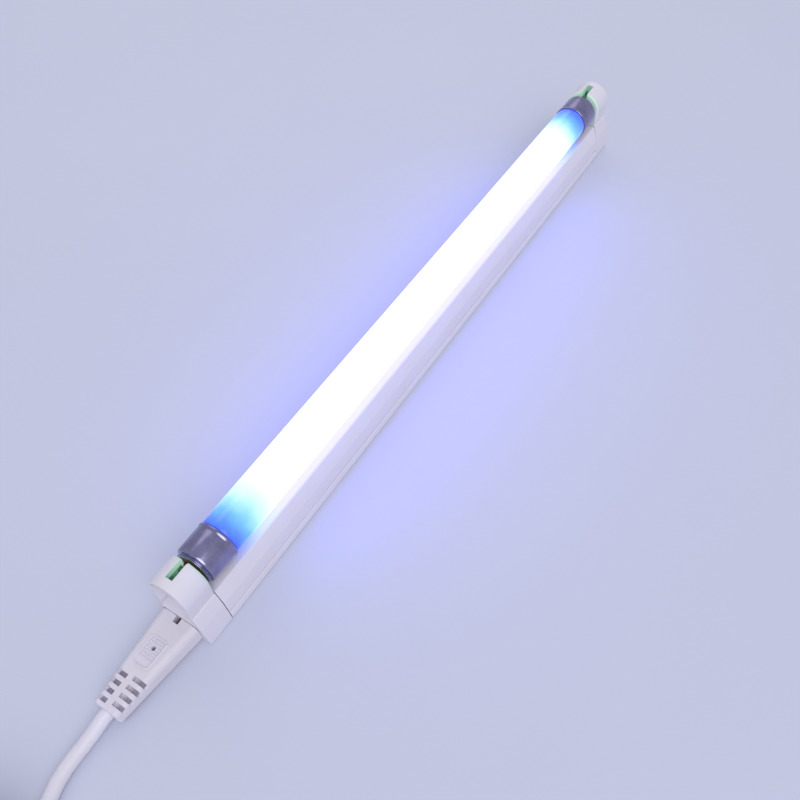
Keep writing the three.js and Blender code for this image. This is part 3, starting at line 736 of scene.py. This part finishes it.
def make_base_cover():
    upstand = wall_half(HOUSING_FOOT_Z) - WALL - SEAM_GAP
    right = [
        (BASE_HALF, 0, 0.5),
        (wall_half(COVER_TOP_Z), COVER_TOP_Z, 0.3),
        (upstand, COVER_TOP_Z, 0.1),
        (upstand - 0.35, 7, 0.25),
        (upstand - 1.4, 7, 0.25),
        (upstand - 1.2, 1.6, 0.4),
    ]
    outline = rounded(both_sides(right), 4)
    piece = prism("base_strip", outline, -SEAM_X + SEAM_GAP, SEAM_X - SEAM_GAP)
    soften(piece, 0.18, 3, 50)
    place(piece, "fitting", "base_cover", slot="white_plastic", material=materials["white_plastic"])


make_housing()
make_base_cover()


# ---- end caps ----
def end_cap_outline(inset):
    """The end cap's section: a base like the housing's under a round-topped lampholder."""
    lean = math.degrees(math.atan2(ARCH_R - ARCH_FOOT_HALF, LAMP_Z - TOP_Z))
    step = TOP_Z - inset / 2
    base = rounded(
        [
            (-20, inset, 0),
            (BASE_HALF - inset, inset, 0.3),
            (KINK_HALF - inset, KINK_Z, 2.2),
            (TOP_HALF + 0.45 - inset, step - 0.05, 0.25),
            (-20, step - 0.05, 0),
        ]
    )[1:-1]
    arch = arc(0, LAMP_Z, ARCH_R - inset, -lean, 180 + lean, 64)
    foot = [(ARCH_FOOT_HALF - inset, step)]
    left = [(-y, z) for y, z in reversed(foot)] + [(-y, z) for y, z in reversed(base)]
    return base + foot + arch + left


def lampholder_hollows(way):
    """What is cut from either end cap: the rotor's room and window, and the ways to them."""
    back = ROTOR_BACK_X + 0.3
    room = rod(*span(way, SEAM_X + 1.2, back), ROTOR_R + 0.3, 0, LAMP_Z, 56)
    window = rod(*span(way, SEAM_X - 0.4, SEAM_X + 2), 4.28, 0, LAMP_Z, 48)
    slot_x = span(way, SEAM_X - 0.4, back + 0.1)
    slot = block(*slot_x, -PIN_SLOT_HALF, PIN_SLOT_HALF, LAMP_Z, LAMP_Z + 10)
    springs = block(*span(way, SEAM_X + 1.25, back - 0.05), -5, 5, 11.9, LAMP_Z)
    wires = block(*span(way, SEAM_X - 7, SEAM_X + 2), -4.4, 4.4, 11.95, 14)
    return [room, window, slot, springs, wires]


def light_end_cap(piece):
    """Gives the plastic with the painted green light to the walls of the pin slot and to the rim that
    faces the lamp.
    """
    piece.data.materials.append(materials["painted_light_plastic"])
    for polygon in piece.data.polygons:
        x, y, z = polygon.center / MM
        in_reach = abs(y) < PIN_SLOT_HALF + 0.05 and z > LAMP_Z and abs(x) < ROTOR_BACK_X + 0.5
        in_slot = in_reach and abs(polygon.normal.z) < 0.8
        at_lamp = abs(x) < SEAM_X + 0.6 and z > TOP_Z + 1.5
        if in_slot or at_lamp:
            polygon.material_index = 1


def make_end_cap(end, way):
    chamfer_x, chamfer_r = ARCH_CHAMFER
    outline = end_cap_outline(0)
    share = 1 - chamfer_r / ARCH_R
    inner = [
        (y * share, LAMP_Z + (z - LAMP_Z) * share) if z > TOP_Z + 1 else (y, z) for y, z in outline
    ]
    rings = [(SEAM_X, inner), (SEAM_X + chamfer_x, outline), (END_X, outline)]
    piece = solid(
        f"{end}_end_moulding", [[(way * x, y, z) for y, z in points] for x, points in rings]
    )
    spigot = [(6.6, 2.2, 0.4), (KINK_HALF - WALL - 1.7, KINK_Z, 0.4), (TOP_HALF - 1.6, 14.9, 0.4)]
    weld(piece, prism("tool", rounded(both_sides(spigot)), *span(way, SEAM_X - 6, SEAM_X + 0.2)))
    carve(piece, *lampholder_hollows(way))
    if end == "near":
        hollow = prism("tool", end_cap_outline(1), *span(way, HOOD_X, END_X + 1))
        carve(hollow, block(*span(way, HOOD_X - 0.2, END_X + 2), -12, 12, -1, HOOD_FLOOR_Z))
        port = block(*span(way, 148.2, END_X + 1), -6, 6, 2.4, 8.6)
        room = block(*span(way, SEAM_X - 7, 148.4), -5.8, 5.8, 2.6, 9.2)
        carve(piece, hollow, port, room)
    else:
        carve(piece, block(*span(way, SEAM_X - 7, SEAM_X + 4), -5.4, 5.4, 3.6, 9.6))
    soften(piece, 0.22, 3, 32)
    white = materials["white_plastic"]
    place(piece, "fitting", f"{end}_end_cap", slot="white_plastic", material=white)
    # paints the lamp's green light onto the pin slot's walls and the rim facing the lamp
    light_end_cap(piece)


# ---- lamp ----
def make_glass():
    half = [
        (JUNCTION_X - 4, GLASS_R),
        (JUNCTION_X - 1.1, GLASS_R - 0.02),
        (JUNCTION_X - 0.7, GLASS_R - 0.12),
        (JUNCTION_X - 0.55, NECK_R + 0.2),
        (JUNCTION_X - 0.4, NECK_R),
        (JUNCTION_X + 5, NECK_R),
        (JUNCTION_X + 5, NECK_R - 0.7),
        (JUNCTION_X - 2, NECK_R - 0.7),
        (JUNCTION_X - 4, GLASS_R - 0.7),
    ]
    profile = [(-x, r) for x, r in reversed(half)] + half
    piece = turned("lit_tube", profile, segments=96)
    place(piece, "lamp", "glass_tube", slot="lamp_glass", material=materials["lit_glass"])


def make_lamp_cap(end, way):
    """Drawn can: a rolled bead against the glass, a shoulder, a groove and a smaller end ring."""
    front = LAMP_FACE_X
    profile = [
        (JUNCTION_X - 0.35, 7.42),
        (JUNCTION_X - 0.42, 7.6),
        (JUNCTION_X - 0.38, 7.84),
        (JUNCTION_X - 0.15, 8.0),
        (JUNCTION_X + 0.2, 8.06),
        (JUNCTION_X + 0.55, 8.0),
        (JUNCTION_X + 0.8, 7.86),
        (JUNCTION_X + 1.05, 7.8),
        (JUNCTION_X + 1.5, CAP_R),
        (JUNCTION_X + 5, CAP_R + 0.02),
        (front - 2.1, CAP_R),
        (front - 1.6, CAP_R - 0.08),
        (front - 1.25, CAP_R - 0.3),
        (front - 1.08, CAP_R - 0.65),
        (front - 1.0, 6.75),
        (front - 0.9, 6.5),
        (front - 0.7, 6.45),
        (front - 0.52, 6.55),
        (front - 0.42, 6.75),
        (front - 0.2, 6.8),
        (front - 0.04, 6.68),
        (front, 6.5),
        (front, 5.72),
        (front - 0.1, 5.6),
        (front - 1.5, 5.6),
        (front - 1.5, 7.42),
    ]
    piece = turned(f"{end}_can", [(way * x, r) for x, r in profile], segments=96)
    soften(piece, 0.05, 2, 60)
    can_metal = materials["aluminium"]
    place(piece, "lamp", f"{end}_lamp_cap", slot="lamp_cap_metal", material=can_metal)


def make_rotor(end, way):
    """The lampholder's rotor: a waisted spool with a slot across it for the lamp's two pins."""
    front, back = ROTOR_FRONT_X, ROTOR_BACK_X
    waist_r = 3.6
    profile = [
        (front, 0),
        (front, ROTOR_R - 0.25),
        (front + 0.25, ROTOR_R),
        (front + 1.3, ROTOR_R),
        (front + 1.5, ROTOR_R - 0.15),
        (front + 1.55, waist_r + 0.3),
        (front + 1.85, waist_r),
        (back - 1.95, waist_r),
        (back - 1.65, waist_r + 0.3),
        (back - 1.6, ROTOR_R - 0.15),
        (back - 1.4, ROTOR_R),
        (back - 0.25, ROTOR_R),
        (back, ROTOR_R - 0.25),
        (back, 0),
    ]
    piece = turned(f"{end}_pin_rotor", [(way * x, r) for x, r in profile], segments=72)
    slot_x = span(way, front - 1, ROTOR_SLOT_END_X)
    carve(piece, block(*slot_x, -6, 6, LAMP_Z - ROTOR_SLOT_HALF, LAMP_Z + ROTOR_SLOT_HALF))
    soften(piece, 0.12, 2, 50, clamp=True)
    body, green = f"{end}_lampholder_rotor", materials["rotor"]
    place(piece, body, f"{end}_rotor", slot="rotor_plastic", material=green)


make_glass()
for end, way in ENDS.items():
    make_end_cap(end, way)
    make_lamp_cap(end, way)
    make_rotor(end, way)


# ---- connector on the mains lead ----
FACE_X = 156.33  # its shoulder, against the end cap
CONNECTOR_HALF = 8
CONNECTOR_END_HALF = 5.1
CONNECTOR_Z = (0.6, 10)
CONNECTOR_END_Z = (0.9, 8.1)
GRIP_X = 178.6  # where the slots in its tail start
GRIP_PITCH = 3.03
GRIP_SLOT = 1.5
GRIP_WALL = 0.95  # what the deep part of a slot leaves of the tail's side
GRIP_LAG = 0.75  # the slots on the +Y side start this much further along the tail
GRIP_LEDGE = 2.4  # depth of a slot's outer, shallow part
GRIP_DEEP_Z = 4.5  # floor of a slot's deep part
PANEL_X = (165.6, 175.5)  # of the raised line on its top
PANEL_HALF = 3.3
PANEL_CORNER = 1.6
RIB_PITCH = 1.06
RIB_HALF = 2.9
EYE_X = 168.8
EYE_R = 0.75


def taper(x):
    """(half width, underside, top) of the connector at a distance from the fitting's middle."""
    t = (x - FACE_X) / (CONNECTOR_END_X - FACE_X)
    half = CONNECTOR_HALF + t * (CONNECTOR_END_HALF - CONNECTOR_HALF)
    low, high = (a + t * (b - a) for a, b in zip(CONNECTOR_Z, CONNECTOR_END_Z))
    return half, low, high


def lean(x):
    """How far the connector sits off the fitting's middle plane, towards +Y."""
    t = (x - FACE_X) / (CONNECTOR_END_X - FACE_X)
    return 0.7 + 0.9 * t


def connector_ring(x, shrink=0.0):
    half, low, high = taper(x)
    half, low, high = half - shrink, low + shrink, high - shrink
    corner = min(2.6, half * 0.36)
    return [(-x, y + lean(x), z) for y, z in rounded_box(half, low, high, corner, 8)]


def raised_panel():
    """A raised line round a plain panel on the connector's top, with fine ribs across part of it."""

    def on_top(x, y, up):
        return (-x, y + lean(x), taper(x)[2] + up)

    def bar(path, width, height):
        """A low ridge along a path of (x, y) points on the connector's top."""
        rings = []
        for i, (x, y) in enumerate(path):
            ahead = Vector(path[min(i + 1, len(path) - 1)])
            behind = Vector(path[max(i - 1, 0)])
            along = (ahead - behind).normalized()
            nx, ny = -along.y * width / 2, along.x * width / 2
            section = ((1, -0.3), (0.8, 0.55), (0.35, 1), (-0.35, 1), (-0.8, 0.55), (-1, -0.3))
            rings.append([on_top(x + nx * a, y + ny * a, height * b) for a, b in section])
        return solid("ridge", rings)

    start, end = PANEL_X
    corner = arc(PANEL_HALF - PANEL_CORNER, end - PANEL_CORNER, PANEL_CORNER, 0, 90, 8)
    right = [(start, PANEL_HALF)] + [(x, y) for y, x in corner]
    outline = right + [(x, -y) for x, y in reversed(right)]
    ridges = [bar(outline, 0.7, 0.52)]
    for i in range(8):
        x = start - 0.4 + RIB_PITCH * i
        whole = ((-RIB_HALF, RIB_HALF),)
        parted = ((-RIB_HALF, -1), (1, RIB_HALF))
        spans = parted if abs(x - EYE_X) < 1 else whole
        ridges += [bar([(x, a), (x, (a + b) / 2), (x, b)], 0.5, 0.4) for a, b in spans]
    return ridges


def connector_tools():
    """What is cut from the connector: the sleeves' holes, slots, latch notch and eye."""
    tools = [rod(-FACE_X - 2, -148, 1.65, y, 5.5, 32) for y in (-3.2, 3.2)]
    for row in range(4):
        x = -GRIP_X - GRIP_PITCH * row
        middle = lean(-x)
        half, _, top = taper(-x)
        deep = half - GRIP_WALL
        for side, lag in ((-1, 0), (1, GRIP_LAG)):
            x0, x1 = x - GRIP_SLOT - lag, x - lag
            for reach, z0, z1 in ((deep, GRIP_DEEP_Z, 12), (9, top - GRIP_LEDGE, 12), (deep, -2, 2.4)):
                y0, y1 = sorted((middle + side * 1.1, middle + side * reach))
                tools.append(block(x0, x1, y0, y1, z0, z1))
    middle = lean(FACE_X)
    tools.append(block(-FACE_X - 2.3, -FACE_X + 1, middle - 1.15, middle + 1.15, 5.5, 12))
    eye = turned("tool", [(2, 0), (2, EYE_R), (12, EYE_R), (12, 0)], 0, 0, 32, axis="Z")
    tools.append(moved(eye, -EYE_X, lean(EYE_X)))
    return tools


def make_connector():
    xs = [FACE_X + 0.35 + i * 1.2 for i in range(29)]
    rings = [connector_ring(FACE_X, 0.12), connector_ring(FACE_X + 0.1, 0.03)]
    rings += [connector_ring(x) for x in xs if x < CONNECTOR_END_X - 1]
    rings += [
        connector_ring(CONNECTOR_END_X - 0.9),
        connector_ring(CONNECTOR_END_X - 0.3, 0.18),
        connector_ring(CONNECTOR_END_X, 0.6),
    ]
    piece = solid("connector", rings)
    nose = prism("tool", rounded_box(5.7, 2.7, 8.3, 0.8), -FACE_X - 1, -149)
    weld(piece, nose)
    carve(piece, *connector_tools())
    soften(piece, 0.16, 3, 40)
    settle(piece)
    core = [
        [(-x, lean(x) + y, z) for y, z in arc(0, 4.6, CORD_R - 0.05, 0, 345, 23)]
        for x in (GRIP_X - 1, GRIP_X + 5, CONNECTOR_END_X - 1)
    ]
    whole = joined("connector_moulding", [piece, solid("core", core), *raised_panel()])
    whole.data.shade_smooth()
    whole.data.set_sharp_from_angle(angle=math.radians(50))
    even = whole.modifiers.new("even_normals", "WEIGHTED_NORMAL")
    even.keep_sharp = True
    pvc = materials["white_pvc"]
    place(whole, "mains_lead", "connector_body", slot="white_pvc", material=pvc)


# ---- the hank's tie and the mains plug ----
PLUG_LENGTH = 36
PLUG_STEP = 1.25  # between its sections
PLUG_PIN_Y = 9.5


def make_tie():
    """A ribbed strap round the hank's waist, with its head on top."""
    half = WIDE_FOLD_R + CORD_R - WAIST_PULL + 0.65
    low, high = HANK_LOW_Z - 0.3, HANK_LOW_Z + 2 * CORD_R + 4 * TURN_STEP + 0.3
    thick = 0.7
    inner = rounded_box(half, low, high, 2.5, 8)
    outer = rounded_box(half + thick, low - thick, high + thick, 3.1, 8)
    x0, x1 = HANK_X - 4.5, HANK_X + 4.5
    rings = []
    for x, narrowing in ((x0, 0.975), (x0 + 0.35, 1), (x1 - 0.35, 1), (x1, 0.975)):
        rings.append([(x, y * narrowing, z) for y, z in outer])
    for x in (x1, x0):
        rings.append([(x, y, z) for y, z in inner])
    parts = [solid("strap", rings, closed=True)]
    top = high + thick
    head = [
        prism("tool", rounded_box(3.4 - i * 0.5, top - 0.3, top + 1.2 + i * 0.25, 0.5), *xs)
        for i, xs in enumerate(((HANK_X - 5.2, HANK_X + 5.2), (HANK_X - 3.6, HANK_X + 3.6)))
    ]
    parts.append(weld(*head))
    for i in range(9):
        y = -half + 1.2 + i * 0.75
        if abs(y) > 3.6:
            section = [(y - 0.2, top - 0.1), (y, top + 0.22), (y + 0.2, top - 0.1)]
            parts.append(prism("rib", section, x0 + 1.4, x1 - 1.4))
    piece = joined("cord_strap", parts)
    soften(piece, 0.12, 2, 50)
    place(piece, "mains_lead", "cord_tie", slot="cord_tie", material=materials["tie"])
    return piece


def plug_half_width(x):
    """Half the plug's width at a distance from its cord end."""
    if x < 17:
        return 4.2 + 11.3 * smooth(x / 17)
    return 15.5 + 2.1 * smooth(min((x - 17) / 14, 1))


def plug_ring(x):
    """The plug's section at a distance from its cord end, with its edges and grip grooves."""
    inset = {
        0: 1.0,
        0.5: 0.35,
        1.2: 0.05,
        PLUG_LENGTH - 0.3: 0.35,
        PLUG_LENGTH: 1.0,
    }.get(x, 0)
    if 8 <= x < 15 and round((x - 2) / PLUG_STEP) % 2 == 0:
        inset += 0.35
    half = plug_half_width(x) - inset
    thick = 4.4 + 2.1 * smooth(min(x / 14, 1)) - inset
    corner = min(thick * 0.85, half * 0.8)
    section = rounded_box(half, -thick, thick, corner, 8)
    return [MAINS_PLUG + Vector((-x, y, z)) for y, z in section]


def make_plug():
    """The mains plug and its two pins, as a list of pieces."""
    spots = [0, 0.5, 1.2] + [2 + i * PLUG_STEP for i in range(27)]
    spots += [PLUG_LENGTH - 0.9, PLUG_LENGTH - 0.3, PLUG_LENGTH]
    piece = solid("plug_moulding", [plug_ring(x) for x in spots])
    face = MAINS_PLUG.x - PLUG_LENGTH
    y0, z0 = MAINS_PLUG.y, MAINS_PLUG.z
    panel = block(face + 3.5, face + 13, y0 - 10, y0 + 10, z0 + 6.2, z0 + 9)
    under = block(face + 3.5, face + 13, y0 - 10, y0 + 10, z0 - 9, z0 - 6.2)
    holes = [rod(face - 4, face + 8, 2.3, y0 + y, z0, 32) for y in (-PLUG_PIN_Y, PLUG_PIN_Y)]
    carve(piece, panel, under, *holes)
    soften(piece, 0.2, 3, 40)
    place(piece, "mains_lead", "mains_plug", slot="white_pvc", material=materials["white_pvc"])
    pieces = [piece]
    for name, y in (("left", PLUG_PIN_Y), ("right", -PLUG_PIN_Y)):
        tip = face - 19
        profile = [
            (face + 6, 0),
            (face + 6, 1.95),
            (face - 10.2, 1.95),
            (face - 10.3, 1.8),
            (face - 10.35, 2.0),
            (tip + 1.4, 2.0),
            (tip + 0.9, 1.9),
            (tip + 0.35, 1.5),
            (tip + 0.08, 0.9),
            (tip, 0),
        ]
        pin = turned(f"plug_pin_{name}", profile, y0 + y, z0, 40)
        sleeve_end = face - 10.3
        pin.data.materials.append(materials["nickel"])
        pin.data.materials.append(materials["insulator"])
        for polygon in pin.data.polygons:
            if polygon.center.x > sleeve_end * MM:
                polygon.material_index = 1
        place(pin, "mains_lead", f"mains_plug_pin_{name}", slot="nickel")
        pieces.append(pin)
    return pieces


make_connector()
tie = make_tie()
plug_pieces = make_plug()


# ---- finishes of the CAD nodes that show as they are ----
CONTACTS = [f"{end}_{part}_{side}" for part in ("contact", "lamp_pin") for end in ENDS for side in SIDES]
LAMP_WIRES = [f"{end}_lamp_wire_{side}" for end in ENDS for side in SIDES]
FINISHES = {
    "brass": CONTACTS,
    "insulator": [f"{end}_pin_disc" for end in ENDS],
    "white_plastic": ["inlet_block"],
    "clear_glass": [f"{end}_stem" for end in ENDS],
    "nickel": ["fuse"]
    + [f"{end}_filament" for end in ENDS]
    + [f"{part}_{side}" for part in ("inlet_pin", "connector_sleeve") for side in SIDES],
    "board": ["ballast_board"],
    "ferrite": ["choke_core", "driver_core"],
    "winding": ["choke_winding"],
    "capacitor_sleeve": ["bulk_capacitor"],
    "capacitor_film": ["lamp_capacitor"],
    "epoxy": ["transistor_high", "transistor_low", "rectifier"],
    "wire_sleeve": [f"inlet_wire_{side}" for side in SIDES] + LAMP_WIRES,
}


def finish_node(node, material):
    """A CAD node with its material, flat faces made whole and its edges rounded a little."""
    node.data.materials.clear()
    node.data.materials.append(material)
    node.data.shade_smooth()
    weld_points = node.modifiers.new("weld", "WELD")
    weld_points.merge_threshold = 0.001 * MM
    flat = node.modifiers.new("flat_faces", "DECIMATE")
    flat.decimate_type = "DISSOLVE"
    flat.angle_limit = math.radians(1)
    soften(node, 0.06, 2, 40, clamp=True)


for finish, names in FINISHES.items():
    for name in names:
        finish_node(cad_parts[name], materials[finish])


# ---- floor, light and colour ----
def make_light(name, kind, place_at, power):
    """A light that points at the origin."""
    light = bpy.data.lights.new(name, kind)
    light.energy = power
    holder = bpy.data.objects.new(name, light)
    bpy.context.scene.collection.objects.link(holder)
    holder.location = place_at
    holder.rotation_mode = "QUATERNION"
    holder.rotation_quaternion = (-Vector(place_at)).to_track_quat("-Z", "Y")
    return light


def make_stage():
    bpy.ops.mesh.primitive_plane_add(size=30, location=(0, 0, -0.0002))
    floor = bpy.context.object
    floor.name = "floor"
    n = Nodes("floor")
    n.link(
        n.mix(n.noise(6, 4), (0.6, 0.62, 0.74), (0.63, 0.65, 0.77)), n.shader.inputs["Base Color"]
    )
    n.link(n.spread(n.noise(30), 0.45, 0.6), n.shader.inputs["Roughness"])
    floor.data.materials.append(n.material)

    world = bpy.data.worlds.new("studio")
    bpy.context.scene.world = world
    world.use_nodes = True
    background = world.node_tree.nodes["Background"]
    background.inputs["Color"].default_value = (0.84, 0.86, 1.0, 1)
    background.inputs["Strength"].default_value = 0.6

    key_side = (-0.7, -0.9, 1.3)
    make_light("sky", "SUN", key_side, 0.85).angle = math.radians(50)
    make_light("key", "AREA", key_side, 4).size = 1.2
    make_light("fill", "AREA", (0.9, 0.8, 1.2), 3.5).size = 1.4

    bpy.context.scene.view_settings.view_transform = "Standard"


make_stage()
